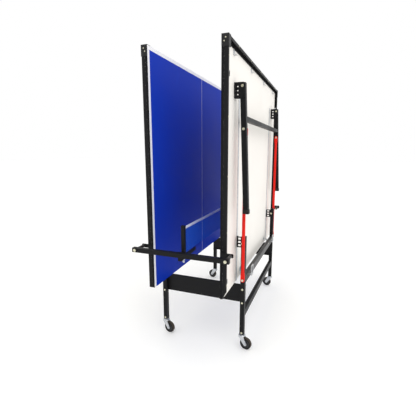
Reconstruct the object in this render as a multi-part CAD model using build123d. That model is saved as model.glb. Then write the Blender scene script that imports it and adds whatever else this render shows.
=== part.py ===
"""Single-fold rollaway table tennis table, standing folded for storage.

Millimetres.  +Z is up, Y runs along the net, X along the table.  The origin is on the floor
at the middle of the undercarriage.  Each half top stands on its net edge with its playing face
towards the net, and folds down through 90 degrees about a fold axis parallel to Y.  The right
half (+X) is modelled, and the left half is its mirror image.
"""
from build123d import *
from math import atan2, cos, degrees, hypot, radians, sin, sqrt
import os

os.makedirs("parts", exist_ok=True)

# ---------------------------------------------------------------- driving dimensions
table_length = 2740.0        # both half tops laid flat
table_width = 1525.0         # along the net
playing_height = 760.0
board_thickness = 15.0
edge_depth = 36.0            # playing face to the back of the apron rail

fold_x = 268.0               # fold axis to the net plane
fold_drop = 62.0             # fold axis below the playing face
net_plane_clearance = 2.2    # least distance of a net edge from the net plane while it folds

rail_wall = 2.0
rail_flange = 25.0           # flange screwed to the board
rail_lip = 14.5              # narrower lip at the back of the rail
rail_net_cut = 44.0          # one side rail of each half ends on a slant this long at the net edge

cap_wall = 2.0
cap_height = 56.0
cap_width = 34.0

upright_size = 28.0
upright_wall = 2.0
upright_y = 508.0            # upright centre line to the middle of the net
upright_top_clearance = 4.0  # upright cap to the underside of an opened board
cap_plate = 3.0              # plastic end caps of square tubes

leg_size = 30.0
leg_wall = 2.0
leg_y = 572.0
leg_pivot_rise = 895.0       # fold axis to leg pivot, along the board
leg_above_pivot = 18.0
leg_foot_height = 24.0
leg_foot_margin = 2.0        # foot stands proud of the tube all round
cross_bar_size = 25.0
cross_bar_drop = 168.0       # below the leg pivot
link_drop = 225.0            # fixed side of the parallelogram: fold axis to link pivot
link_lean = 10.0             # and its slope outwards
link_diameter = 20.0
link_flat = 8.0              # flattened ends of the link
link_flat_width = 26.0
link_taper = 30.0
link_y = 541.0

strip_width = 20.0           # steel strip along the underside of the board
strip_thickness = 3.0
bracket_plate = 4.0
fold_bracket_height = 68.0
net_plate_height = 22.0      # plate on the side rail that the net bar's pin runs in
fold_bracket_gap = 0.5       # bracket cheek beside the upright
leg_bracket_height = 80.0
leg_bracket_above = 20.0     # of that, above the leg pivot
window_height = 13.0         # openings pressed in the bracket cheeks, beside the board
window_width = 17.0
window_pitch = 21.0
leg_bracket_gap = 0.75
cheek_plate = 3.0

fold_pin_diameter = 10.0
pivot_pin_diameter = 8.0
running_clearance = 0.08     # radial, pin in a turning hole
open_pivot_clearance = 0.5   # radial, link on the leg bolt, the pivot left open
head_height = 5.0
head_gap = 0.4

end_plate_sheet = 2.0
end_plate_height = 116.0
end_plate_fold = 12.0
end_plate_top_gap = 19.0     # below the half tops

low_rail_height = 40.0
low_rail_width = 25.0
low_rail_drop = 51.0         # end plate to the top of the one low rail, on the right
latch_rail_height = 45.0
latch_rail_width = 25.0
latch_rise = 22.0            # latch bolt above the net edge of the board
latch_y = 400.0
latch_bolt_diameter = 10.0
latch_bolt_clearance = 0.1   # radial
latch_travel = 14.0
latch_loop_width = 46.0
latch_loop_height = 66.0
latch_wire = 6.0

wheel_diameter = 75.0
castor_head = 20.0           # castor height above the top of its wheel
wheel_width = 24.0
wheel_side_gap = 1.5
castor_trail = 28.0
fork_sheet = 3.0
fork_disc = 46.0
axle_diameter = 8.0
castor_angle = -12.0         # near castors trail this way from +X, far castors the opposite way

net_height = 150.0
net_play_height = 152.5      # top of the net above the playing face
net_bottom_drop = 10.0       # net bottom below the fold axis while stored
net_thickness = 0.8
net_tape_height = 15.0
net_tape_thickness = 2.0
post_size = 20.0
post_wall = 2.0
post_out = 22.5              # net post to the side edge
post_foot = 5.0              # post below the net bottom
post_head = 3.0              # post above the net tape
post_rod_diameter = 12.0
net_bar_size = 25.0
net_bar_out = 87.5           # net bar to the side edge
net_arm_height = 22.0
net_arm_thickness = 5.0
net_arm_reach = 142.5        # blade in under the net from the side edge
net_arm_gap = 3.0            # post foot above the arm
net_bar_spacer = 18.0
knob_diameter = 18.0
knob_ball = 14.0

# ---------------------------------------------------------------- places that follow
fold_z = playing_height - fold_drop
face_x = fold_x - fold_drop
underside_x = face_x + board_thickness
rail_back_x = face_x + edge_depth
half_width = table_width / 2
post_y = half_width + post_out
net_bar_y = half_width + net_bar_out
net_arm_end_y = half_width - net_arm_reach
castor_height = wheel_diameter + castor_head
net_edge_gap = fold_x - sqrt((fold_x - net_plane_clearance) ** 2 - fold_drop ** 2)
board_bottom = fold_z - (fold_x - net_edge_gap)
board_length = table_length / 2 - net_edge_gap
board_top = board_bottom + board_length
side_rail_inner_y = half_width - rail_flange

leg_pivot_z = fold_z + leg_pivot_rise
lean_angle = degrees(atan2(link_lean, link_drop))
link_low = (fold_x + link_lean, fold_z - link_drop)
link_high = (fold_x + link_lean, leg_pivot_z - link_drop)
foot_bottom = leg_pivot_z - fold_z
leg_inner_y = leg_y - leg_size / 2

upright_x = fold_x + link_lean / 2
upright_top = playing_height - board_thickness - upright_top_clearance
upright_inner_y = upright_y - upright_size / 2
upright_outer_y = upright_y + upright_size / 2
cheek_outer_y = upright_inner_y - fold_bracket_gap
cheek_inner_y = cheek_outer_y - bracket_plate
strip_inner_y = cheek_outer_y - strip_width

end_plate_top = board_bottom - end_plate_top_gap
end_plate_bottom = end_plate_top - end_plate_height
low_rail_top = end_plate_bottom - low_rail_drop
latch_z = board_bottom + latch_rise
latch_rail_in = upright_x - latch_rail_width / 2
latch_rail_out = upright_x + latch_rail_width / 2

net_bottom = fold_z - net_bottom_drop
net_top = net_bottom + net_height
net_lift = playing_height + net_play_height - net_top
post_bottom = net_bottom - post_foot
arm_top = post_bottom - net_arm_gap
arm_bottom = arm_top - net_arm_height
net_half_length = post_y - post_size / 2


# ---------------------------------------------------------------- shape helpers
def block(x0, x1, y0, y1, z0, z1):
    """A box between two corners."""
    return Pos((x0 + x1) / 2, (y0 + y1) / 2, (z0 + z1) / 2) * Box(abs(x1 - x0), abs(y1 - y0), abs(z1 - z0))


def rod_x(diameter, x0, x1, y, z):
    """A round bar along X."""
    return Pos((x0 + x1) / 2, y, z) * Rot(0, 90, 0) * Cylinder(diameter / 2, abs(x1 - x0))


def rod_y(diameter, x, y0, y1, z):
    """A round bar along Y."""
    return Pos(x, (y0 + y1) / 2, z) * Rot(90, 0, 0) * Cylinder(diameter / 2, abs(y1 - y0))


def rod_z(diameter, x, y, z0, z1):
    """A round bar along Z."""
    return Pos(x, y, (z0 + z1) / 2) * Cylinder(diameter / 2, abs(z1 - z0))


def hex_y(size, x, y0, y1, z):
    """A hexagon head along Y."""
    prism = extrude(RegularPolygon(size / 2, 6), abs(y1 - y0) / 2, both=True)
    return Pos(x, (y0 + y1) / 2, z) * Rot(90, 0, 0) * prism


def near(part):
    """The near end's copy of a part modelled at the far end."""
    return mirror(part, Plane.XZ)


def ends(part):
    """The near and the far copy of a part modelled at the far end."""
    return [near(part), part]


def left(part):
    """The left half's copy of a right part."""
    return mirror(part, Plane.YZ)


def turned(part):
    """A right part turned half round, end for end, onto the left half."""
    return Rot(0, 0, 180) * part


def save(name, parts):
    """Write one node."""
    export_step(Compound(children=[solid for part in parts for solid in part.solids()]),
                f"parts/{name}.step")


def save_sides(name, parts):
    """Write the right node and its mirrored left node."""
    save(name + "_right", parts)
    save(name + "_left", [left(part) for part in parts])


def leaning(part, pivot_x, pivot_z, y=0.0):
    """Set a part modelled upright at the origin on a leg pivot, at the leg's slope."""
    return Pos(pivot_x, y, pivot_z) * Rot(0, -lean_angle, 0) * part


# ---------------------------------------------------------------- half tops
def board():
    """Playing board of one half."""
    return block(face_x, underside_x, -half_width, half_width, board_bottom, board_top)


def side_rail(slanted):
    """Channel under the far side edge: web flush with the edge, flange on the board, lip behind.
    The two halves are the same half turned round, with one of their side rails cut on a slant."""
    web = block(underside_x, rail_back_x, half_width - rail_wall, half_width, board_bottom, board_top)
    flange = block(underside_x, underside_x + rail_wall, side_rail_inner_y, half_width,
                   board_bottom, board_top)
    lip = block(rail_back_x - rail_wall, rail_back_x, half_width - rail_lip, half_width,
                board_bottom, board_top)
    slant = extrude(Plane.XZ * make_face(Polyline(
        (underside_x, board_bottom), (rail_back_x + 1, board_bottom - 1),
        (rail_back_x + 1, board_bottom + rail_net_cut), close=True)), -table_width)
    channel = web + flange + lip
    return channel - slant if slanted else channel


def end_rail():
    """The same channel under the end line, between the side rails."""
    y = side_rail_inner_y
    web = block(underside_x, rail_back_x, -y, y, board_top - rail_wall, board_top)
    flange = block(underside_x, underside_x + rail_wall, -y, y, board_top - rail_flange, board_top)
    lip = block(rail_back_x - rail_wall, rail_back_x, -y, y, board_top - rail_lip, board_top)
    return web + flange + lip


def corner_cap():
    """Moulded cap over the far end-line corner, with a rounded lower corner behind."""
    body = block(face_x, rail_back_x + cap_wall, half_width - cap_width, half_width + cap_wall,
                 board_top - cap_height, board_top + cap_wall)
    body = fillet(body.edges().filter_by(Axis.X).sort_by(Axis.Z)[:1], cap_width / 4)
    inside = block(face_x - 1, rail_back_x, 0, half_width, board_bottom, board_top)
    return body - inside


def rail_screws():
    """Pan-head screws along the lips of the rails, and two in each corner cap."""
    screw = Cylinder(3.5, 2.5)
    seat_x = rail_back_x + 1.25
    lip_middle = rail_lip / 2
    heads = []
    for share in (0.06, 0.28, 0.5, 0.72, 0.93):
        for side in (-1, 1):
            heads.append(Pos(seat_x, side * (half_width - lip_middle),
                             board_bottom + share * board_length) * Rot(0, 90, 0) * screw)
    for step in (-2, -1, 0, 1, 2):
        heads.append(Pos(seat_x, step * half_width * 0.38, board_top - lip_middle)
                     * Rot(0, 90, 0) * screw)
    cap_x = (face_x + rail_back_x) / 2
    for drop, dx in ((16.0, 4.0), (32.0, -4.0)):
        heads += ends(rod_y(6.0, cap_x + dx, half_width + cap_wall, half_width + cap_wall + 1.5,
                            board_top - drop))
    return heads


def steel_strip():
    """Flat strip stiffening the board from the net edge to the top of the leg bracket."""
    return block(underside_x, underside_x + strip_thickness, strip_inner_y, cheek_outer_y,
                 board_bottom + rail_wall, leg_pivot_z + leg_bracket_above)


def zinc_clips():
    """Angle clips under the end rail, strap plates on the side rails, and latch strikes."""
    clips = []
    clip_top = board_top - rail_flange
    for y in (-600.0, -200.0, 200.0, 600.0):
        base = block(underside_x, underside_x + 2, y - 14, y + 14, clip_top - 26, clip_top)
        stand = block(underside_x, rail_back_x - 4, y - 14, y + 14, clip_top - 28, clip_top - 26)
        clips.append(base + stand)
    for z in (board_bottom + 90.0, board_top - 170.0):
        plate = block(underside_x, underside_x + rail_wall, side_rail_inner_y - 22,
                      side_rail_inner_y, z - 14, z + 14)
        ear = block(underside_x, rail_back_x - 6, side_rail_inner_y - 22, side_rail_inner_y - 20,
                    z - 14, z + 14)
        clips += ends(plate + ear)
    plate_x = latch_rail_in - 11.5
    shelf_z = latch_z + 16.0
    for y in (-latch_y, latch_y):
        base = block(underside_x, underside_x + 3, y - 15, y + 15, shelf_z, shelf_z + 22)
        shelf = block(underside_x, plate_x + 3, y - 15, y + 15, shelf_z, shelf_z + 3)
        plate = block(plate_x, plate_x + 3, y - 15, y + 15, latch_z - 16, shelf_z + 3)
        hole = rod_x(latch_bolt_diameter + 3, plate_x - 1, plate_x + 4, y, latch_z)
        clips.append(base + shelf + plate - hole)
    return clips


def bracket_cheek(inner_x, low, high, thickness):
    """Upright plate from the board out past a pivot on the fold axis's line, at Y 0 to its
    thickness, with its outer corners rounded and a column of windows beside the board."""
    outer_x = fold_x + 14
    cheek = block(inner_x, outer_x, 0, thickness, low, high)
    cheek = fillet(cheek.edges().filter_by(Axis.Y).sort_by(Axis.X)[-2:], 12)
    window_x = inner_x + bracket_plate + 4 + window_width / 2
    for step in (-1, 0, 1):
        window = Pos(window_x, thickness / 2, (low + high) / 2 + step * window_pitch) * Box(
            window_width, 3 * thickness, window_height)
        cheek -= window
    return cheek


def fold_brackets():
    """Cheek and foot that carry the board on the fold axis, and the plates for the net bar."""
    foot_x = underside_x + strip_thickness
    reach = fold_bracket_height / 2
    cheek = Pos(0, cheek_inner_y, 0) * bracket_cheek(foot_x, fold_z - reach, fold_z + reach,
                                                     bracket_plate)
    foot = block(foot_x, foot_x + bracket_plate, strip_inner_y, cheek_outer_y,
                 fold_z - reach, fold_z + reach)
    bracket = cheek + foot - rod_y(fold_pin_diameter + 2 * running_clearance, fold_x,
                                   cheek_inner_y - 1, cheek_outer_y + 1, fold_z)
    plate = block(face_x + 2, fold_x + 14, half_width, half_width + bracket_plate,
                  fold_z - net_plate_height / 2, fold_z + net_plate_height / 2)
    plate = fillet(plate.edges().filter_by(Axis.Y), 6)
    plate -= rod_y(fold_pin_diameter + 2 * running_clearance, fold_x, half_width - 1,
                   half_width + bracket_plate + 1, fold_z)
    return ends(bracket) + ends(plate)


def leg_brackets():
    """Clevis under the board that holds the top of a leg."""
    high = leg_pivot_z + leg_bracket_above
    low = high - leg_bracket_height
    outer = leg_size / 2 + leg_bracket_gap + cheek_plate
    cheek = bracket_cheek(underside_x, low, high, cheek_plate)
    foot = block(underside_x, underside_x + bracket_plate, leg_y - outer, leg_y + outer, low, high)
    bracket = (foot + Pos(0, leg_y + outer - cheek_plate, 0) * cheek
               + Pos(0, leg_y - outer, 0) * cheek)
    return ends(bracket - rod_y(pivot_pin_diameter, fold_x, leg_y - outer - 1, leg_y + outer + 1,
                                leg_pivot_z))


def leg_pivot_bolts():
    """Bolt through each leg bracket, head outside and nut inside."""
    outer = leg_size / 2 + leg_bracket_gap + cheek_plate
    shank = rod_y(pivot_pin_diameter, fold_x, leg_y - outer, leg_y + outer, leg_pivot_z)
    head = hex_y(15, fold_x, leg_y + outer, leg_y + outer + head_height, leg_pivot_z)
    nut = hex_y(15, fold_x, leg_y - outer - 2.0, leg_y - outer, leg_pivot_z)
    return ends(shank + head + nut)


# ---------------------------------------------------------------- leg frames
def leg_tubes():
    """Two square legs, closed at the top, sloping outwards to their feet."""
    length = leg_pivot_z - foot_bottom + 2 * leg_size
    tube = Pos(0, 0, leg_above_pivot - length / 2) * Box(leg_size, leg_size, length)
    bore = leg_size - 2 * leg_wall
    tube -= Pos(0, 0, leg_above_pivot - leg_wall - length / 2) * Box(bore, bore, length)
    tube = leaning(tube, fold_x, leg_pivot_z, leg_y)
    tube &= block(0, 2 * fold_x + leg_size * 8, 0, half_width, foot_bottom + leg_foot_height,
                  leg_pivot_z + leg_size)
    for x, z, clearance in ((fold_x, leg_pivot_z, running_clearance), (*link_high, 0.0)):
        tube -= rod_y(pivot_pin_diameter + 2 * clearance, x, leg_inner_y - 1,
                      leg_y + leg_size / 2 + 1, z)
    return ends(tube)


def leg_feet():
    """Rubber foot under each leg, cut level with the floor of the opened table."""
    size = leg_size + 2 * leg_foot_margin
    length = leg_pivot_z - foot_bottom + 2 * leg_size
    foot = leaning(Pos(0, 0, -length / 2) * Box(size, size, length), fold_x, leg_pivot_z, leg_y)
    foot &= block(0, 2 * fold_x + leg_size * 8, 0, half_width, foot_bottom,
                  foot_bottom + leg_foot_height)
    return ends(foot)


def cross_bar():
    """Square tube that joins the two legs."""
    bore = cross_bar_size - 2 * leg_wall
    bar = Box(cross_bar_size, 2 * leg_inner_y, cross_bar_size) - Box(bore, 2 * leg_inner_y, bore)
    return leaning(Pos(0, 0, -cross_bar_drop) * bar, fold_x, leg_pivot_z)


def link_bolts():
    """Bolt that joins the top of each link to the leg."""
    x, z = link_high
    inner = link_y - link_flat / 2
    shank = rod_y(pivot_pin_diameter, x, inner - head_gap, leg_y + leg_size / 2, z)
    spacer = rod_y(16, x, link_y + link_flat / 2 + head_gap, leg_inner_y, z)
    nut = hex_y(15, x, leg_y + leg_size / 2, leg_y + leg_size / 2 + head_height, z)
    head = hex_y(15, x, inner - head_gap - head_height, inner - head_gap, z)
    return ends(shank + spacer + nut + head)


# ---------------------------------------------------------------- link bars
def link_bar():
    """Round bar with flattened, rounded ends, one pivot hole in each."""
    half = leg_pivot_rise / 2
    straight = half - link_flat_width - link_taper
    bar = Cylinder(link_diameter / 2, 2 * straight)
    flat_start = straight + link_taper
    for end in (1, -1):
        round_face = Pos(0, 0, end * straight) * Circle(link_diameter / 2)
        flat_face = Pos(0, 0, end * flat_start) * Rectangle(link_flat_width, link_flat)
        bar += loft([round_face, flat_face])
        tongue = block(-link_flat_width / 2, link_flat_width / 2, -link_flat / 2, link_flat / 2,
                       end * flat_start, end * half)
        bar += tongue + rod_y(link_flat_width, 0, -link_flat / 2, link_flat / 2, end * half)
    bar -= rod_y(pivot_pin_diameter + 2 * running_clearance, 0, -link_flat, link_flat, -half)
    bar -= rod_y(pivot_pin_diameter + 2 * open_pivot_clearance, 0, -link_flat, link_flat, half)
    return ends(Pos(link_low[0], link_y, link_low[1] + half) * bar)


# ---------------------------------------------------------------- undercarriage
def upright():
    """Square post of the undercarriage, with its pivot holes."""
    x, y, half = upright_x, upright_y, upright_size / 2
    bore = half - upright_wall
    post = block(x - half, x + half, y - half, y + half, castor_height, upright_top - cap_plate)
    post -= block(x - bore, x + bore, y - bore, y + bore, castor_height - 1, upright_top)
    post -= rod_y(fold_pin_diameter, fold_x, y - half - 1, y + half + 1, fold_z)
    post -= rod_y(pivot_pin_diameter, link_low[0], y - half - 1, y + half + 1, link_low[1])
    return post


def upright_cap():
    """Plastic plug in the top of an upright."""
    half = upright_size / 2
    bore = half - upright_wall
    top = block(upright_x - half, upright_x + half, upright_y - half, upright_y + half,
                upright_top - cap_plate, upright_top)
    plug = block(upright_x - bore, upright_x + bore, upright_y - bore, upright_y + bore,
                 upright_top - cap_plate - 12, upright_top - cap_plate)
    return top + plug


def end_plate():
    """Sheet plate between the far uprights, with folded top and bottom edges."""
    reach = upright_x + upright_size / 2
    y = upright_inner_y
    sheet = block(-reach, reach, y - end_plate_sheet, y, end_plate_bottom, end_plate_top)
    folds = [block(-reach, reach, y - end_plate_fold, y, z, z + end_plate_sheet)
             for z in (end_plate_bottom, end_plate_top - end_plate_sheet)]
    return sheet + folds


def rail_between_uprights(width, low, high, wall):
    """Side tube between the near and the far upright."""
    x, y = upright_x, upright_inner_y
    bar = block(x - width / 2, x + width / 2, -y, y, low, high)
    return bar - block(x - width / 2 + wall, x + width / 2 - wall, -y, y, low + wall, high - wall)


def low_rail():
    """Lower side tube of the undercarriage."""
    return rail_between_uprights(low_rail_width, low_rail_top - low_rail_height, low_rail_top, 2.0)


def latch_rail():
    """Upper side tube, bored for the two latch bolts."""
    half = latch_rail_height / 2
    bar = rail_between_uprights(latch_rail_width, latch_z - half, latch_z + half, 2.0)
    size = latch_bolt_diameter + 2 * latch_bolt_clearance
    return bar - [rod_x(size, latch_rail_in - 1, latch_rail_out + 1, y, latch_z)
                  for y in (-latch_y, latch_y)]


def frame_bolts():
    """Hexagon heads outside the uprights, for the end plates and the castor plugs."""
    heads = []
    y = upright_outer_y
    for z in (end_plate_top - 18, end_plate_bottom + 8, castor_height + 13):
        head = hex_y(13, upright_x, y, y + 4, z)
        heads += ends(head) + ends(left(head))
    for y in (-upright_inner_y + 60, -upright_inner_y + 200, upright_inner_y - 200,
              upright_inner_y - 60):
        head = rod_x(9, latch_rail_out, latch_rail_out + 2.5, y, latch_z + 12)
        heads += [head, left(head)]
    return heads


def fold_pins():
    """Bolt on the fold axis through each upright and bracket cheek."""
    shank = rod_y(fold_pin_diameter, fold_x, cheek_inner_y - head_gap, upright_outer_y, fold_z)
    head = hex_y(18, fold_x, upright_outer_y, upright_outer_y + head_height, fold_z)
    nut = hex_y(17, fold_x, cheek_inner_y - head_gap - head_height, cheek_inner_y - head_gap, fold_z)
    pin = shank + head + nut
    return ends(pin) + ends(left(pin))


def link_pins():
    """Bolt through each upright, flush inside, that carries the bottom of a link."""
    x, z = link_low
    outer = link_y + link_flat / 2 + head_gap
    shank = rod_y(pivot_pin_diameter, x, upright_inner_y, outer, z)
    spacer = rod_y(16, x, upright_outer_y, link_y - link_flat / 2 - head_gap, z)
    pin = shank + spacer + hex_y(15, x, outer, outer + head_height, z)
    return ends(pin) + ends(left(pin))


# ---------------------------------------------------------------- castors
def castor_stem():
    """Stem, collar and expander plug in the bottom of an upright."""
    x, y = upright_x, upright_y
    bore = upright_size / 2 - upright_wall
    collar = rod_z(34, x, y, castor_height - 4, castor_height)
    plug = block(x - bore, x + bore, y - bore, y + bore, castor_height, castor_height + 30)
    return collar + plug


def castor_fork():
    """Swivel head and pressed fork, trailing along +X from the swivel axis, with its axle."""
    axle_z = wheel_diameter / 2
    top = castor_height - 4 - 0.4
    side = wheel_width / 2 + wheel_side_gap
    head = rod_z(fork_disc, 0, 0, top - 9, top) + rod_z(fork_disc - 12, 0, 0, top - 14, top - 9)
    head = chamfer(head.edges().filter_by(GeomType.CIRCLE).sort_by(Axis.Z)[-1:], 2)
    cheek = extrude(Plane.XZ * make_hull([
        *(Pos(castor_trail, axle_z) * Circle(11.0)).edges(),
        *(Pos(0, top - 11) * Rectangle(34, 4)).edges()]), fork_sheet / 2, both=True)
    crown = block(-17, 17, -side - fork_sheet, side + fork_sheet, top - 13, top - 9)
    cheeks = [Pos(0, s * (side + fork_sheet / 2), 0) * cheek for s in (-1, 1)]
    bore = rod_y(axle_diameter, castor_trail, -side - 9, side + 9, axle_z)
    fork = head + crown + cheeks - bore
    shank = rod_y(axle_diameter, castor_trail, -side - fork_sheet, side + fork_sheet, axle_z)
    bolt = shank + hex_y(14, castor_trail, side + fork_sheet, side + fork_sheet + 4, axle_z)
    bolt += hex_y(14, castor_trail, -side - fork_sheet - 4, -side - fork_sheet, axle_z)
    return [fork, bolt]


def castor_wheel():
    """Wheel with a rounded tread and dished sides."""
    rim = wheel_diameter / 2
    half = wheel_width / 2
    wheel = fillet(Cylinder(rim, wheel_width).edges(), 5)
    for s in (-1, 1):
        wheel -= Pos(0, 0, s * half) * (Cylinder(rim - 9, 8) - Cylinder(11, 8))
    wheel -= Cylinder(axle_diameter / 2 + running_clearance, wheel_width + 2)
    return Pos(castor_trail, 0, rim) * Rot(90, 0, 0) * wheel


# ---------------------------------------------------------------- net set
def net_bar():
    """Bar outside the far side edge, with the stem and the blade that run in under the net."""
    half = net_bar_size / 2
    bore = half - 2.0
    reach = fold_x + half + 3
    y, z = net_bar_y, fold_z
    bar = block(-reach, reach, y - half, y + half, z - half, z + half)
    bar -= block(-reach, reach, y - bore, y + bore, z - bore, z + bore)
    for x in (-fold_x, fold_x):
        bar -= rod_y(fold_pin_diameter, x, y - half - 1, y + half + 1, z)
    hanger_y = y - half - 5
    post = post_size / 2
    hanger = block(-post, post, hanger_y, y - half, arm_bottom, z + half)
    stem = block(-post, post, post_y - post - 3, hanger_y, arm_bottom, arm_top)
    blade = block(-net_arm_thickness / 2, net_arm_thickness / 2, net_arm_end_y, post_y - post - 3,
                  arm_bottom, arm_top)
    gusset = extrude(Plane.XY * make_face(Polyline(
        (-28, y - half), (28, y - half), (post, hanger_y - 30), (-post, hanger_y - 30),
        close=True)), 4)
    gusset = Pos(0, 0, arm_top - 2) * gusset
    caps = [block(s * reach, s * (reach + cap_plate), y - half, y + half, z - half, z + half)
            for s in (-1, 1)]
    return [bar + hanger + stem + blade + gusset] + caps


def net_bar_pins():
    """Pin and black spacer at each end of the net bar, on the fold axis."""
    outer = net_bar_y + net_bar_size / 2
    inner = half_width + bracket_plate + head_gap
    shank = rod_y(fold_pin_diameter, fold_x, half_width - 6, outer, fold_z)
    head = hex_y(18, fold_x, outer, outer + head_height, fold_z)
    spacer = rod_y(net_bar_spacer, fold_x, inner, net_bar_y - net_bar_size / 2, fold_z)
    pin = shank + head + spacer
    return ends(pin) + ends(left(pin))


def post_rods():
    """Fixed rod that guides a net post."""
    return ends(rod_z(post_rod_diameter, 0, post_y, arm_top, arm_top + net_lift + 50))


def net_post():
    """Square net post, closed by its cap."""
    half = post_size / 2
    bore = half - post_wall
    top = net_top + post_head
    post = block(-half, half, post_y - half, post_y + half, post_bottom, top)
    post -= block(-bore, bore, post_y - bore, post_y + bore, post_bottom - 1, top - post_wall)
    return post + fillet(block(-half - 1.5, half + 1.5, post_y - half, post_y + half + 1.5,
                               top, top + 5).edges().filter_by(Axis.Z), 1.2)


def net_cloth():
    """Net below its tape."""
    half = net_thickness / 2
    return block(-half, half, -net_half_length, net_half_length, net_bottom,
                 net_top - net_tape_height)


def net_tape():
    """White tape folded over the top of the net."""
    half = net_tape_thickness / 2
    return block(-half, half, -net_half_length, net_half_length, net_top - net_tape_height, net_top)


def net_knob():
    """Cone and ball under the stem, which clamp the rod of the net post."""
    top = arm_bottom - head_gap
    cone = Pos(0, post_y, top - 6) * Cone(4.0, knob_diameter / 2, 12)
    ball = Pos(0, post_y, top - 12 - knob_ball / 2 + 1.5) * Sphere(knob_ball / 2)
    return cone + ball


# ---------------------------------------------------------------- latches
def latch():
    """Latch bolt through the right latch rail at the far end, with its bent wire pull."""
    wire = latch_wire
    loop_x = latch_rail_out + latch_travel + wire / 2 + 1.5
    bolt = rod_x(latch_bolt_diameter, latch_rail_in, loop_x, latch_y, latch_z)
    collar = rod_x(16, latch_rail_out + latch_travel + 1, loop_x + wire / 2, latch_y, latch_z)
    height = latch_loop_height + wire / 2
    loop = (RectangleRounded(latch_loop_width + wire, height, 12)
            - RectangleRounded(latch_loop_width - wire, height - 2 * wire, 12 - wire))
    loop = extrude(Plane.YZ * loop, wire / 2, both=True)
    loop = fillet(loop.edges().filter_by(lambda edge: edge.bounding_box().size.X < 0.01), wire * 0.4)
    loop = Pos(loop_x, latch_y, latch_z + height / 2 - wire / 2) * loop
    return bolt + collar + loop


# ---------------------------------------------------------------- write the nodes
save_sides("board", [board()])
side_rails = [near(side_rail(True)), side_rail(False)]
save("side_rails_right", side_rails)
save("side_rails_left", [turned(part) for part in side_rails])
save_sides("end_rail", [end_rail()])
save_sides("corner_caps", ends(corner_cap()))
save_sides("rail_screws", rail_screws())
save_sides("steel_strips", ends(steel_strip()))
save_sides("zinc_clips", zinc_clips())
save_sides("fold_brackets", fold_brackets())
save_sides("leg_brackets", leg_brackets())
save_sides("leg_pivot_bolts", leg_pivot_bolts())
save_sides("leg_tubes", leg_tubes())
save_sides("leg_feet", leg_feet())
save_sides("leg_cross_bar", [cross_bar()])
save_sides("link_bolts", link_bolts())
save_sides("link_bars", link_bar())
save("low_rail", [low_rail()])
save("latch_rails", [latch_rail(), left(latch_rail())])
save("uprights_right", ends(upright()))
save("uprights_left", ends(left(upright())))
save("upright_caps", ends(upright_cap()) + ends(left(upright_cap())))
save("end_plate_far", [end_plate()])
save("end_plate_near", [near(end_plate())])
save("frame_bolts", frame_bolts())
save("pivot_pins", fold_pins() + link_pins())
save("castor_stems", ends(castor_stem()) + ends(left(castor_stem())))
save("net_bars", [piece for part in net_bar() for piece in ends(part)])
save("net_bar_pins", net_bar_pins())
save("net_post_rods", post_rods())
save("net_posts", ends(net_post()))
save("net_cloth", [net_cloth()])
save("net_tape", [net_tape()])
save("net_knob_far", [net_knob()])
save("net_knob_near", [near(net_knob())])
save("latch_right_far", [latch()])
save("latch_right_near", [near(latch())])
save("latch_left_far", [left(latch())])
save("latch_left_near", [left(near(latch()))])

for corner, side_x, side_y, turn in (("right_near", 1, -1, castor_angle),
                                     ("left_near", -1, -1, castor_angle),
                                     ("right_far", 1, 1, 180 + castor_angle),
                                     ("left_far", -1, 1, 180 + castor_angle)):
    place = Pos(side_x * upright_x, side_y * upright_y, 0) * Rot(0, 0, turn)
    save(f"castor_fork_{corner}", [place * piece for piece in castor_fork()])
    save(f"castor_wheel_{corner}", [place * castor_wheel()])
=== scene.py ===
# %% [markdown]
# # Dressing a rollaway table-tennis table
# The steel, boards and castors arrive as a finished CAD frame, already in metres and in place.
# The work here is what Blender is good at: paint, plating, a knotted net, light and a camera.
# The frame is loaded first.

# %% Load the frame
import math

import bmesh
import bpy
import numpy as np
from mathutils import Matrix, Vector


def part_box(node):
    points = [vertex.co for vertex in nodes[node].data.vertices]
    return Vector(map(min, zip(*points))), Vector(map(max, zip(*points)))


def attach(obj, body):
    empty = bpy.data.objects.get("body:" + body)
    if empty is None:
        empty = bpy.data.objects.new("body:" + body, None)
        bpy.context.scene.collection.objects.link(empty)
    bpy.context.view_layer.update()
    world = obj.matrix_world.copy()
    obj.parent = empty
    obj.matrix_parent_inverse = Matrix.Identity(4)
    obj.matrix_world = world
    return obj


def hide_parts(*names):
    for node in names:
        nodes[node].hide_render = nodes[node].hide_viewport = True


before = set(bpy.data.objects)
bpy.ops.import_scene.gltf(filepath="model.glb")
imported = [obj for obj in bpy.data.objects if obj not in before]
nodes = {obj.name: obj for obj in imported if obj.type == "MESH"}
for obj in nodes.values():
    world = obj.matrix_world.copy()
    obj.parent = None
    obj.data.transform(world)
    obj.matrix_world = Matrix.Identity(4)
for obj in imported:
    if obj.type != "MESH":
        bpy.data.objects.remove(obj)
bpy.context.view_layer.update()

# %% [markdown]
# ## Colours
# A maker names a colour by how it looks on a screen, from 0 to 255, but a shader works in
# linear light, where middle grey is only about a fifth of white. The conversion could be typed
# in by hand for every colour. One small function does it for all of them and keeps the numbers
# readable.

# %% Colour helper
def tint(red, green, blue):
    """A screen colour, 0 to 255 a channel, as the linear colour that shaders use."""
    def light(value):
        share = value / 255
        return share / 12.92 if share <= 0.04045 else ((share + 0.055) / 1.055) ** 2.4
    return (light(red), light(green), light(blue), 1.0)


MM = 0.001
print("middle grey in linear light:", round(tint(128, 128, 128)[0], 3))

# %% [markdown]
# ## A short hand for shader nodes
# Every finish below is a small tree of nodes round a Principled shader. Wiring each one by hand
# takes four lines a node, and the pattern would drown in them. This class adds a node, sets it
# and wires it in one call. Its patterns read Object coordinates, which here are metres in the
# frame at rest, so a pattern stays on its piece when the piece folds.

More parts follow.
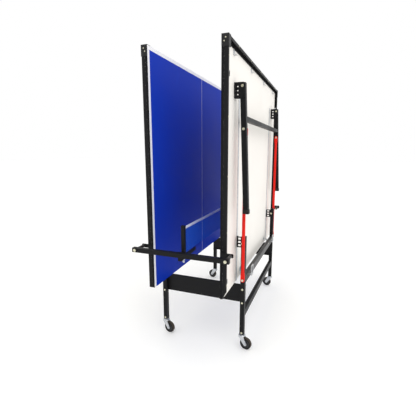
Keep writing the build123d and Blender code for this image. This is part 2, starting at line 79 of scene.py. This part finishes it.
# %% The node helper
class Finish:
    """One material, with short ways to add shader nodes to it."""

    def __init__(self, name):
        self.material = bpy.data.materials.new(name)
        self.material.use_nodes = True
        self.tree = self.material.node_tree
        self.surface = self.tree.nodes["Principled BSDF"]
        self.place = self.add("TexCoord").outputs["Object"]

    def add(self, kind, wires=None, **settings):
        made = self.tree.nodes.new("ShaderNode" + kind)
        for name, value in settings.items():
            setattr(made, name, value)
        for socket, value in (wires or {}).items():
            self.wire(made, socket, value)
        return made

    def wire(self, node, socket, value):
        if isinstance(value, bpy.types.NodeSocket):
            self.tree.links.new(value, node.inputs[socket])
        else:
            node.inputs[socket].default_value = value

    def look(self, **values):
        """Sets or wires sockets of the Principled shader: Base_Color becomes Base Color."""
        for name, value in values.items():
            self.wire(self.surface, name.replace("_", " "), value)
        return self

    def noise(self, scale, detail=3.0, stretch=None):
        place = self.place
        if stretch:
            place = self.add("Mapping", {"Vector": place, "Scale": stretch}).outputs[0]
        wires = {"Vector": place, "Scale": scale, "Detail": detail}
        return self.add("TexNoise", wires).outputs["Fac"]

    def math(self, operation, first, second=0.0):
        return self.add("Math", {0: first, 1: second}, operation=operation).outputs[0]

    def fade(self, value, start, end, low=0.0, high=1.0):
        """low while value is below start, high once it is past end, smooth in between."""
        wires = {"Value": value, "From Min": start, "From Max": end, "To Min": low, "To Max": high}
        return self.add("MapRange", wires, interpolation_type="SMOOTHSTEP").outputs["Result"]

    def mix(self, share, first, second):
        made = self.add("Mix", {0: share, 6: first, 7: second}, data_type="RGBA")
        return made.outputs[2]

    def bump(self, height, depth, under=None):
        made = self.add("Bump", {"Height": height, "Distance": depth, "Strength": 1.0})
        if under is not None:
            self.wire(made, "Normal", under)
        return made.outputs["Normal"]

    def edges(self, radius):
        """A normal that rounds sharp edges off, and a mask that is 1 along them."""
        rounded = self.add("Bevel", {"Radius": radius}, samples=6).outputs[0]
        true = self.add("NewGeometry").outputs["Normal"]
        agree = self.add("VectorMath", {0: rounded, 1: true}, operation="DOT_PRODUCT")
        return rounded, self.fade(agree.outputs["Value"], 0.75, 0.995, 1.0, 0.0)

    def axes(self):
        """The three coordinates in metres, each on its own wire."""
        split = self.add("SeparateXYZ", {0: self.place})
        return split.outputs[0], split.outputs[1], split.outputs[2]


print("node helper ready")

# %% [markdown]
# ## Black powder coat
# The rails, uprights, brackets and legs are steel in satin black powder coat. Up close it has a
# faint orange peel, because the powder melts into a skin that is never quite level, and it thins
# over sharp edges, which look a little greyer and shinier. The lighter edge colour is partly that
# thin, worn coat and partly a painted highlight, where a rounded edge would catch the light.
# A plain dark colour would read as a hole in the picture. A Bevel node finds the edges, one fine
# noise gives the peel and one broad noise makes the gloss wander as it does on a real tube.

# %% Powder coat
def powder_coat(name, dark, light, edge, gloss, shine, peel=0.02 * MM):
    paint = Finish(name)
    rounded, edge_mask = paint.edges(0.9 * MM)
    cloud = paint.noise(5.0, 4.0)
    peel_height = paint.noise(650.0, 2.0)
    # Along the edges the paint goes toward the lighter edge colour: partly worn coat, partly a
    # painted highlight.
    edge_wear_and_highlight = paint.math("MULTIPLY", edge_mask, paint.fade(paint.noise(60.0, 4.0), 0.45, 0.62))
    body = paint.mix(cloud, dark, light)
    rough = paint.fade(cloud, 0.3, 0.7, gloss - 0.05, gloss + 0.08)
    paint.look(
        Base_Color=paint.mix(edge_wear_and_highlight, body, edge),
        Roughness=paint.math("SUBTRACT", rough, paint.math("MULTIPLY", edge_wear_and_highlight, 0.12)),
        Normal=paint.bump(peel_height, peel, rounded),
        Specular_IOR_Level=shine,
    )
    return paint


black_steel = powder_coat("black_powder_coat", tint(13, 13, 15), tint(22, 22, 24),
                          tint(50, 50, 54), 0.46, 0.16)
grey_tube = powder_coat("graphite_powder_coat", tint(28, 28, 30), tint(40, 40, 42),
                        tint(100, 100, 104), 0.40, 0.25)
red_link = powder_coat("red_powder_coat", tint(214, 22, 12), tint(230, 34, 20),
                       tint(170, 50, 40), 0.38, 0.16, 0.01 * MM)
print("powder coats:", [f.material.name for f in (black_steel, grey_tube, red_link)])

# %% [markdown]
# ## The playing boards
# Each half top is one board with five different skins: matt blue on the playing face with white
# lines painted on it, a white sealed underside, black banding round three edges, and raw wood
# chips where the net edge was sawn. It could be five materials on separate faces, but the CAD
# board is one box. So one material looks at where a point is, in metres, and mixes the skins
# from that. The lines are drawn at their real widths: 20 mm along the sides and the end, and
# 3 mm down the middle.

# %% Board measurements
low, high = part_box("board_right")
face_x, back_x = low.x, high.x
half_width, net_edge_z, end_line_z = high.y, low.z, high.z
line_width, centre_line = 20 * MM, 3 * MM
line_blur = 0.3 * MM
skin_depth = 0.02 * MM
print(f"board {high.z - low.z:.3f} x {2 * half_width:.3f} x {back_x - face_x:.3f} m")

# %% [markdown]
# The skins are mixed one over the other: first the banding and the sawn edge, then the printed
# face where a point is at the face, then the sealed back where it is at the back. The face has
# a slow drift in its blue and a few paler scuffs, because a used table is never one flat blue,
# and a very fine stipple in the bump keeps it matt.

# %% Board finish
def board_finish(name):
    skin = Finish(name)
    x, y, z = skin.axes()
    across = skin.math("ABSOLUTE", x)
    aside = skin.math("ABSOLUTE", y)

    def past(value, edge):
        return skin.fade(value, edge - line_blur, edge + line_blur)

    side_line = past(aside, half_width - line_width)
    end_line = past(z, end_line_z - line_width)
    middle = skin.math("SUBTRACT", 1.0, past(aside, centre_line / 2))
    line = skin.math("MAXIMUM", skin.math("MAXIMUM", side_line, end_line), middle)
    on_face = skin.fade(across, face_x + skin_depth, face_x + 2 * skin_depth, 1.0, 0.0)
    on_back = skin.fade(across, back_x - 2 * skin_depth, back_x - skin_depth)
    sawn = skin.fade(z, net_edge_z + line_blur, net_edge_z + 2 * line_blur, 1.0, 0.0)

    drift = skin.noise(1.6, 3.0)
    stipple = skin.noise(1500.0, 2.0)
    scuff = skin.fade(skin.noise(9.0, 6.0, (1, 1, 0.35)), 0.60, 0.74, 0.0, 0.35)
    blue = skin.mix(drift, tint(5, 48, 168), tint(12, 58, 186))
    blue = skin.mix(scuff, blue, tint(26, 66, 190))
    printed = skin.mix(line, blue, tint(250, 249, 246))
    sealed = skin.mix(skin.noise(3.0, 5.0), tint(238, 234, 228), tint(247, 244, 239))
    chip_cell = skin.add("TexVoronoi", {"Vector": skin.place, "Scale": 420.0})
    chips = skin.mix(chip_cell.outputs["Color"], tint(150, 116, 78), tint(206, 176, 132))
    banding = skin.mix(sawn, tint(22, 22, 24), chips)
    colour = skin.mix(on_face, banding, printed)
    colour = skin.mix(on_back, colour, sealed)
    rough = skin.fade(drift, 0.3, 0.7, 0.50, 0.58)
    rough = skin.math("ADD", rough, skin.math("MULTIPLY", scuff, 0.15))
    coarse = skin.math("MULTIPLY", chip_cell.outputs["Distance"], sawn)
    height = skin.math("ADD", stipple, skin.math("MULTIPLY", coarse, 6.0))
    skin.look(Base_Color=colour, Roughness=rough, Normal=skin.bump(height, 0.02 * MM),
              Specular_IOR_Level=0.08)
    return skin


board = board_finish("painted_board")
print("board finish:", len(board.tree.nodes), "nodes")

# %% [markdown]
# ## Plated metal
# Castor forks, clips, latches and bolts are zinc plated. Fresh zinc is a cool, slightly cloudy
# mirror, and bolts are often dipped again to a faint straw yellow. Both are metal, so their
# colour lives in the reflection: the shader's Metallic is 1, and the clouding goes into the
# roughness. The long flat strip is galvanised instead, where the zinc freezes into flat crystals,
# called spangle, that a Voronoi pattern copies.

# %% Plating
def plated(name, dull, bright, low_gloss, high_gloss):
    metal = Finish(name)
    rounded, edge_mask = metal.edges(0.5 * MM)
    cloud = metal.noise(45.0, 5.0)
    fine = metal.noise(1100.0, 2.0)
    # Along the edges the colour is pushed to the bright zinc: a painted highlight there.
    metal.look(
        Base_Color=metal.mix(metal.math("MAXIMUM", cloud, edge_mask), dull, bright),
        Metallic=1.0,
        Roughness=metal.fade(cloud, 0.3, 0.7, low_gloss, high_gloss),
        Normal=metal.bump(fine, 0.01 * MM, rounded),
    )
    return metal


straw = (tint(196, 192, 168), tint(232, 230, 206), 0.30, 0.46)
zinc = plated("zinc_plate", tint(176, 179, 183), tint(222, 224, 227), 0.24, 0.42)
straw_zinc = plated("straw_zinc_bolts", *straw)
print("plating:", zinc.material.name, straw_zinc.material.name)

# %% [markdown]
# ## Galvanised strip
# Spangle is a patchwork of crystals about a centimetre across, each tilted its own way, so each
# catches the light a little differently. A Voronoi texture gives every cell one random colour.
# One channel of it is enough to vary both the grey and the roughness together.

# %% Spangle
spangle = Finish("galvanised_strip")
cells_per_metre = 110.0
crystals = spangle.add("TexVoronoi", {"Vector": spangle.place, "Scale": cells_per_metre})
shade = spangle.add("SeparateColor", {0: crystals.outputs["Color"]}).outputs[0]
strip_normal, _ = spangle.edges(0.4 * MM)
spangle.look(
    Base_Color=spangle.mix(shade, tint(182, 186, 190), tint(214, 217, 220)),
    Metallic=0.85,
    Roughness=spangle.fade(shade, 0.0, 1.0, 0.30, 0.52),
    Normal=spangle.bump(spangle.noise(300.0, 3.0), 0.02 * MM, strip_normal),
)
print("spangle cells about", round(1 / cells_per_metre / MM, 1), "mm")

# %% [markdown]
# ## Plastic and rubber
# The corner caps and the tube plugs are moulded plastic: black, a touch warmer and softer than
# the paint, with a fine spark-eroded grain from the mould. The feet are rubber, which is nearly
# matt and picks up dust. A single dark colour would make all three look alike, so each has its
# own grain and its own roughness.

# %% Moulded plastic and rubber
def moulded(name, dark, light, grain_scale, grain_depth, gloss, dust):
    stuff = Finish(name)
    rounded, edge_mask = stuff.edges(1.2 * MM)
    cloud = stuff.noise(22.0, 5.0)
    dusty = stuff.fade(cloud, 0.48, 0.72, 0.0, dust)
    stuff.look(
        Base_Color=stuff.mix(dusty, stuff.mix(cloud, dark, light), tint(120, 116, 110)),
        Specular_IOR_Level=0.25,
        Roughness=stuff.fade(cloud, 0.3, 0.7, gloss, gloss + 0.12),
        Normal=stuff.bump(stuff.noise(grain_scale, 2.0), grain_depth, rounded),
    )
    return stuff


black_plastic = moulded("moulded_plastic", tint(18, 18, 20), tint(28, 28, 30), 1400.0,
                        0.02 * MM, 0.42, 0.04)
foot_rubber = moulded("leg_foot_rubber", tint(20, 20, 20), tint(32, 31, 30), 700.0, 0.06 * MM,
                      0.68, 0.18)
print("moulded:", black_plastic.material.name, foot_rubber.material.name)

# %% [markdown]
# ## Castor wheels
# A castor wheel is a ring of dark rubber round a hard plastic centre. The CAD wheel is one solid,
# so the finish tells tyre from centre by the distance to the axle. That distance is worked out
# with vector nodes from the wheel's own middle, which the frame gives, so each wheel has its own
# copy of the finish. Rolling leaves a dusty, slightly brown tread.

# %% Wheel finish
tyre_inner = 28.5 * MM
tread_start = 34.5 * MM
upright_low, upright_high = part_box("uprights_right")
post_x = (upright_low.x + upright_high.x) / 2
post_y = upright_high.y - (upright_high.x - upright_low.x) / 2


def middle_of(node):
    low_corner, high_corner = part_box(node)
    return (low_corner + high_corner) / 2


def wheel_finish(name, node, side_x, side_y):
    centre = middle_of(node)
    trail = Vector((centre.x - side_x * post_x, centre.y - side_y * post_y, 0.0)).normalized()
    axle = Vector((-trail.y, trail.x, 0.0))
    rubber = Finish(name)
    out = rubber.add("VectorMath", {0: rubber.place, 1: centre}, operation="SUBTRACT").outputs[0]
    along = rubber.add("VectorMath", {0: out, 1: axle}, operation="DOT_PRODUCT").outputs["Value"]
    onto = rubber.add("VectorMath", {0: axle, "Scale": along}, operation="SCALE").outputs[0]
    flat = rubber.add("VectorMath", {0: out, 1: onto}, operation="SUBTRACT").outputs[0]
    reach = rubber.add("VectorMath", {0: flat}, operation="LENGTH").outputs["Value"]
    tyre = rubber.fade(reach, tyre_inner - 0.2 * MM, tyre_inner + 0.2 * MM)
    tread = rubber.fade(reach, tread_start, tread_start + 2.5 * MM)
    cloud = rubber.noise(60.0, 5.0)
    band = rubber.mix(tread, tint(20, 20, 21), tint(52, 44, 38))
    band = rubber.mix(rubber.math("MULTIPLY", cloud, tread), band, tint(74, 64, 54))
    rubber.look(
        Base_Color=rubber.mix(tyre, rubber.mix(cloud, tint(40, 40, 43), tint(58, 58, 60)), band),
        Roughness=rubber.fade(tyre, 0.0, 1.0, 0.38, 0.66),
        Normal=rubber.bump(rubber.noise(800.0, 2.0), 0.04 * MM),
        Specular_IOR_Level=0.25,
    )
    return rubber


corners = {"right_near": (1, -1), "left_near": (-1, -1), "right_far": (1, 1), "left_far": (-1, 1)}
wheels = {c: wheel_finish("wheel_rubber_" + c, "castor_wheel_" + c, *s) for c, s in corners.items()}
print("wheel finishes:", sorted(wheels))

# %% [markdown]
# ## Pins of the net bar
# Each end of the net bar turns on a plated pin, with a black plastic tube round the part between
# the bar and the table. In the frame that is one solid. Here too the place decides: the tube runs
# from the table's side plate to the bar, so any point between those two is plastic.

# %% Pin finish
bar_size = 25 * MM
plate_and_gap = 4.3 * MM
clearance = 0.2 * MM
blur = 0.1 * MM
spacer_start = half_width + plate_and_gap
spacer_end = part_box("net_bars")[1].y - bar_size - clearance
pin = plated("pin_and_spacer", *straw)
pin_y = pin.math("ABSOLUTE", pin.axes()[1])
spacer = pin.math("MULTIPLY", pin.fade(pin_y, spacer_start - blur, spacer_start + blur),
                  pin.fade(pin_y, spacer_end - blur, spacer_end + blur, 1.0, 0.0))
plated_colour = pin.surface.inputs["Base Color"].links[0].from_socket
pin.look(Base_Color=pin.mix(spacer, plated_colour, tint(24, 24, 26)),
         Metallic=pin.math("SUBTRACT", 1.0, spacer))
print(f"spacer from {spacer_start:.4f} to {spacer_end:.4f} m out")

# %% [markdown]
# ## Giving each part its finish
# The frame's nodes already know what they are made of. A table from node name to finish, matched
# on how the name starts, keeps every choice in one place and makes a missed part impossible: the
# loop stops if a name has no finish.

# %% Assign the finishes
finish_by_start = {
    "board_": board, "side_rails": black_steel, "end_rail": black_steel,
    "fold_brackets": black_steel, "leg_brackets": black_steel, "leg_tubes": black_steel,
    "leg_cross_bar": black_steel, "uprights": black_steel, "low_rail": black_steel,
    "end_plate": black_steel, "net_bars": black_steel, "net_posts": black_steel,
    "latch_rails": grey_tube, "corner_caps": black_plastic, "upright_caps": black_plastic,
    "rail_screws": straw_zinc, "leg_pivot_bolts": straw_zinc, "link_bolts": straw_zinc,
    "frame_bolts": straw_zinc, "pivot_pins": straw_zinc, "net_bar_pins": pin,
    "zinc_clips": zinc, "castor_stems": zinc, "castor_fork": zinc, "net_post_rods": zinc,
    "net_knob": zinc, "latch_right": zinc, "latch_left": zinc, "steel_strips": spangle,
    "link_bars": red_link, "leg_feet": foot_rubber, "net_cloth": board, "net_tape": board,
}
for corner, wheel in wheels.items():
    finish_by_start["castor_wheel_" + corner] = wheel

for name, part in nodes.items():
    starts = [start for start in finish_by_start if name.startswith(start)]
    chosen = finish_by_start[max(starts, key=len)]
    part.data.materials.clear()
    part.data.materials.append(chosen.material)
print("parts with a finish:", len(nodes))

# %% [markdown]
# ## The net
# A table-tennis net is a mesh of thin blue nylon cord with square holes about as wide as a
# fingertip or less. A flat sheet with a see-through pattern would be quick, but it has no
# thickness and casts the wrong shadow. Here every cord is a real four-sided thread that passes
# over and under the ones it crosses. All threads go into one mesh, which stays light because a
# thread only has a ring of points at each crossing.

# %% Thread helper
def thread(points, ring):
    """Points and faces of a thread: the ring of corners at every point, closed at both ends."""
    count, sides = len(points), len(ring)
    corners_of = (points[:, None, :] + ring[None, :, :]).reshape(-1, 3)
    step, side = np.meshgrid(np.arange(count - 1), np.arange(sides), indexing="ij")
    first = step * sides + side
    second = step * sides + (side + 1) % sides
    faces = np.stack([first, second, second + sides, first + sides], -1).reshape(-1, sides)
    cap = np.arange(sides)
    return corners_of, np.vstack([faces, cap[None, ::-1], cap[None] + (count - 1) * sides])


def mesh_object(name, corners_of, faces, finish, body):
    """A new mesh object with its normals facing out, riding on a body of the frame."""
    mesh = bpy.data.meshes.new(name)
    mesh.from_pydata([tuple(p) for p in corners_of], [], [tuple(int(i) for i in f) for f in faces])
    work = bmesh.new()
    work.from_mesh(mesh)
    bmesh.ops.recalc_face_normals(work, faces=work.faces)
    work.to_mesh(mesh)
    work.free()
    mesh.materials.append(finish.material)
    made = bpy.data.objects.new(name, mesh)
    bpy.context.scene.collection.objects.link(made)
    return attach(made, body)


print("a thread has four sides, so its caps are quads too")

# %% [markdown]
# ## Nylon cord
# Net cord is twisted nylon: a strong blue with a dull gleam. The fibres are far too fine to
# model, so a fine noise drives both the roughness and a small bump, and a broad noise lets the
# dye vary along the net.

# %% Nylon finish
nylon = Finish("blue_nylon_cord")
twist = nylon.noise(900.0, 2.0)
nylon.look(
    Base_Color=nylon.mix(nylon.noise(14.0, 4.0), tint(2, 78, 190), tint(10, 94, 212)),
    Specular_IOR_Level=0.25,
    Roughness=nylon.fade(twist, 0.3, 0.7, 0.45, 0.70),
    Normal=nylon.bump(twist, 0.1 * MM),
)
print("nylon finish:", len(nylon.tree.nodes), "nodes")

# %% [markdown]
# ## Weaving
# The upright cords and the level cords are laid one by one on a grid. At each crossing one goes
# in front and the other behind, and the next crossing is the other way round, which is a plain
# weave. The lowest level cord is thicker, as the bottom edge of a net is.

# %% Weave the net
cloth_low, cloth_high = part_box("net_cloth")
net_pitch, cord_size = 8 * MM, 1.6 * MM
tuck_under_tape = 2 * MM
bottom_cord = 1.9
columns = round((cloth_high.y - cloth_low.y) / net_pitch)
rows = round((cloth_high.z - cloth_low.z) / net_pitch)
net_y = np.linspace(cloth_low.y, cloth_high.y, columns + 1)
net_z = np.linspace(cloth_low.z + cord_size, cloth_high.z + tuck_under_tape, rows + 1)
reach = cord_size / 2
pass_by = 0.4 * cord_size
all_corners, all_faces, used = [], [], 0


def lay_thread(points, ring):
    global used
    corners_of, faces = thread(points, ring)
    all_corners.append(corners_of)
    all_faces.append(faces + used)
    used += len(corners_of)


upright_ring = np.array([(reach, 0, 0), (0, reach, 0), (-reach, 0, 0), (0, -reach, 0)])
level_ring = np.array([(reach, 0, 0), (0, 0, reach), (-reach, 0, 0), (0, 0, -reach)])
for i, y in enumerate(net_y):
    over = [pass_by * (-1) ** (i + j) for j in range(rows + 1)]
    lay_thread(np.array([(over[j], y, z) for j, z in enumerate(net_z)]), upright_ring)
for j, z in enumerate(net_z):
    over = [-pass_by * (-1) ** (i + j) for i in range(columns + 1)]
    thick = bottom_cord if j == 0 else 1.0
    lay_thread(np.array([(over[i], y, z) for i, y in enumerate(net_y)]), level_ring * thick)
net = mesh_object("net_mesh", np.vstack(all_corners), np.vstack(all_faces), nylon, "net_set")
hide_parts("net_cloth")
print(f"net: {columns} by {rows} squares, {len(net.data.polygons)} faces")

# %% [markdown]
# ## The tape over the net
# A white woven tape is folded over the top cord of the net and sewn through. It is a U upside
# down, a bit fuller at the fold than at its edges, and it never lies quite straight. The U is
# drawn once as a profile of a few points, then repeated along the net with a small wander, which
# is what makes it look like cloth and not like a plastic channel.

# %% Tape finish
webbing = Finish("white_woven_tape")
_, tape_y, tape_z = webbing.axes()
warp = webbing.math("SINE", webbing.math("MULTIPLY", tape_z, 2 * math.pi / (1.1 * MM)))
weft = webbing.math("SINE", webbing.math("MULTIPLY", tape_y, 2 * math.pi / (1.3 * MM)))
weave = webbing.math("MULTIPLY", warp, weft)
tape_low, tape_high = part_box("net_tape")
seam_z = tape_low.z + 2.6 * MM
seam = webbing.fade(webbing.math("ABSOLUTE", webbing.math("SUBTRACT", tape_z, seam_z)),
                    0.35 * MM, 0.7 * MM, 1.0, 0.0)
stitch_wave = webbing.math("SINE", webbing.math("MULTIPLY", tape_y, 2 * math.pi / (4 * MM)))
stitch = webbing.math("MULTIPLY", seam, webbing.fade(stitch_wave, -0.35, -0.1))
tape_white = webbing.mix(webbing.noise(35.0, 4.0), tint(236, 237, 240), tint(250, 250, 251))
webbing.look(
    Base_Color=webbing.mix(stitch, tape_white, tint(176, 178, 184)),
    Roughness=webbing.fade(weave, -1.0, 1.0, 0.88, 0.70),
    Normal=webbing.bump(webbing.math("SUBTRACT", weave, webbing.math("MULTIPLY", stitch, 3.0)),
                        0.12 * MM),
)
print("tape finish:", len(webbing.tree.nodes), "nodes")

# %% [markdown]
# ## Folding the tape
# The profile is one outer line and one inner line a tape's thickness inside it, joined at the
# two lower edges, so the folded tape is a closed solid. Two sine waves of different length bend
# it from side to side by a fraction of a millimetre and never repeat together.

# %% Fold the tape
tape_wall = 0.6 * MM
full = 1.7 * MM
fold_steps = 7
tape_stations = 156
tape_top = tape_high.z


def tape_profile(half, top, bottom):
    """Half of the U, as (x, z) points, from one lower edge over the fold to the other."""
    bend = [math.pi * (1 - k / (fold_steps - 1)) for k in range(fold_steps)]
    arch = [(half * math.cos(a), top - half + half * math.sin(a)) for a in bend]
    sides = [(-0.9 * half, bottom), (-0.97 * half, (bottom + top) / 2)]
    return sides + arch + [(-x, z) for x, z in reversed(sides)]


outer = tape_profile(full, tape_top, tape_low.z)
inner = tape_profile(full - tape_wall, tape_top - tape_wall, tape_low.z)
section = np.array(outer + inner[::-1])
stations = np.linspace(tape_low.y, tape_high.y, tape_stations)
wander = 0.35 * MM * np.sin(stations * 23.0) + 0.2 * MM * np.sin(stations * 71.0 + 1.3)
count, sides = len(stations), len(section)
tape_points = np.array([(x + w, y, z) for y, w in zip(stations, wander) for x, z in section])
step, side = np.meshgrid(np.arange(count - 1), np.arange(sides), indexing="ij")
first, second = step * sides + side, step * sides + (side + 1) % sides
walls = np.stack([first, second, second + sides, first + sides], -1).reshape(-1, 4)
tape_faces = [list(face) for face in walls]
for end in (0, (count - 1) * sides):
    for k in range(sides // 2 - 1):
        tape_faces.append([end + k, end + k + 1, end + sides - 2 - k, end + sides - 1 - k])
tape = mesh_object("net_top_tape", tape_points, tape_faces, webbing, "net_set")
for face in tape.data.polygons:
    face.use_smooth = True
tape.data.set_sharp_from_angle(angle=math.radians(50))
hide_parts("net_tape")
print(f"tape: {len(tape.data.polygons)} faces, {1000 * (tape_top - tape_low.z):.0f} mm deep")

# %% [markdown]
# The net and its tape are cloth. The tape is a strip folded in two, and the net is mostly holes.
# Its area is given as half the skin of its cords, front and back counted once, a bit over half of
# the rectangle.

# %% [markdown]
# ## Floor
# The table stands on a plain pale studio floor that runs out of sight. Where a floor meets a
# white background, a faint horizon shows, because a real surface never gives back all its light.
# A little emission of its own makes up the difference, so the floor fades into the background and
# only the soft shadow under the table is left.

# %% Floor
floor_finish = Finish("studio_floor")
floor_finish.look(
    Base_Color=floor_finish.mix(floor_finish.noise(0.8, 4.0), tint(243, 243, 241),
                                tint(247, 247, 245)),
    Roughness=0.75,
    Emission_Color=(1.0, 1.0, 1.0, 1.0),
    Emission_Strength=0.14,
    Normal=floor_finish.bump(floor_finish.noise(90.0, 3.0), 0.1 * MM),
)
floor_mesh = bpy.data.meshes.new("floor")
grid = bmesh.new()
floor_reach = 40.0
bmesh.ops.create_grid(grid, x_segments=8, y_segments=8, size=floor_reach)
grid.to_mesh(floor_mesh)
grid.free()
floor_mesh.materials.append(floor_finish.material)
floor = bpy.data.objects.new("floor", floor_mesh)
bpy.context.scene.collection.objects.link(floor)
print("floor", round(2 * floor_reach), "m square")

# %% [markdown]
# ## Light
# The light is soft and comes from nearly everywhere, as in a white studio: a bright even sky does
# most of it. One large soft panel above, in front and to the right gives the shadow a direction,
# and a weaker one on the left lifts the dark side. Small lamps would draw hard shadows and bright
# spots on the black tubes.

# %% Light
scene = bpy.context.scene
scene.world = bpy.data.worlds.new("white_studio")
scene.world.use_nodes = True
sky = scene.world.node_tree.nodes["Background"]
sky.inputs["Color"].default_value = (1.0, 1.0, 1.0, 1.0)
sky.inputs["Strength"].default_value = 1.0


def soft_panel(name, place, aim, side, power):
    """A square area light, side metres wide, of power watts, turned to face aim."""
    lamp = bpy.data.lights.new(name, "AREA")
    lamp.shape = "SQUARE"
    lamp.size, lamp.energy = side, power
    made = bpy.data.objects.new(name, lamp)
    made.location = place
    made.rotation_euler = (Vector(aim) - Vector(place)).to_track_quat("-Z", "Y").to_euler()
    scene.collection.objects.link(made)
    return made


soft_panel("key_panel", place=(2.6, -2.2, 4.2), aim=(0.0, 0.0, 0.7), side=3.0, power=45.0)
soft_panel("fill_panel", place=(-3.5, -2.5, 2.2), aim=(0.0, 0.0, 0.9), side=2.5, power=12.0)
scene.view_settings.view_transform = "Standard"

# %% [markdown]
# ## Camera
# The camera stands at the near right corner at chest height, a little over two metres away, and
# looks slightly down between the two boards. A lens of about 27 mm on a 36 mm wide frame takes the
# whole table in from there and gives the strong perspective of a close view.

# %% Camera
camera_place = (0.7229, -2.2921, 1.2440)
look_down, turn_left = 0.1779, 0.3660
camera_data = bpy.data.cameras.new("camera")
camera_data.sensor_width = 36.0
camera_data.lens = 26.9394
camera = bpy.data.objects.new("camera", camera_data)
camera.location = camera_place
camera.rotation_euler = (math.pi / 2 - look_down, 0.0, turn_left)
scene.collection.objects.link(camera)
scene.camera = camera
print(f"lens {camera_data.lens:.1f} mm")
